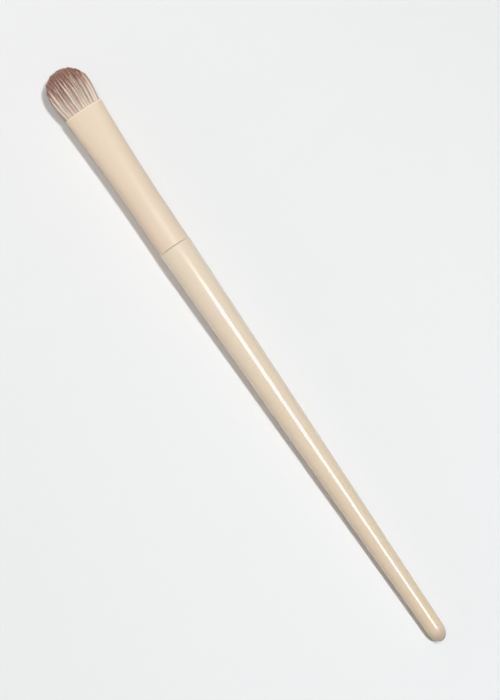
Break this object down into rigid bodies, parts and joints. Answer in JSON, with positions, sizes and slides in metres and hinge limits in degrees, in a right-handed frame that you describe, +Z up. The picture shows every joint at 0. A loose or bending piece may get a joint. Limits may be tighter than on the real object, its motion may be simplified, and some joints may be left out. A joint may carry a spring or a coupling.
{
  "type": "eyeshadow brush",
  "caption": "Slim cosmetic brush: domed oval tuft of soft bristles in a metal ferrule pressed flat at its mouth, on a tapering lacquered wooden handle with a rounded tail.",
  "frame": {"origin": "on the ground under the middle of the brush's length, straight below its axis", "axes": "+X along the brush towards the bristles, +Y across the bristles' width, +Z up through the ferrule's upper broad face"},
  "size_m": [0.17, 0.011, 0.0086],
  "materials": {
    "lacquered_wood": "gloss",
    "painted_ferrule": "satin",
    "bristles": "matte",
    "resin": "satin",
    "thread": "matte",
    "glue": "satin"
  },
  "bodies": {
    "root": {"handle": "lacquered_wood", "ferrule": "painted_ferrule", "bristle_tuft": "bristles", "resin_plug": "resin", "root_binding": "thread", "glue_ring_1": "glue", "glue_ring_2": "glue", "glue_ring_3": "glue"}
  },
  "joints": []
}
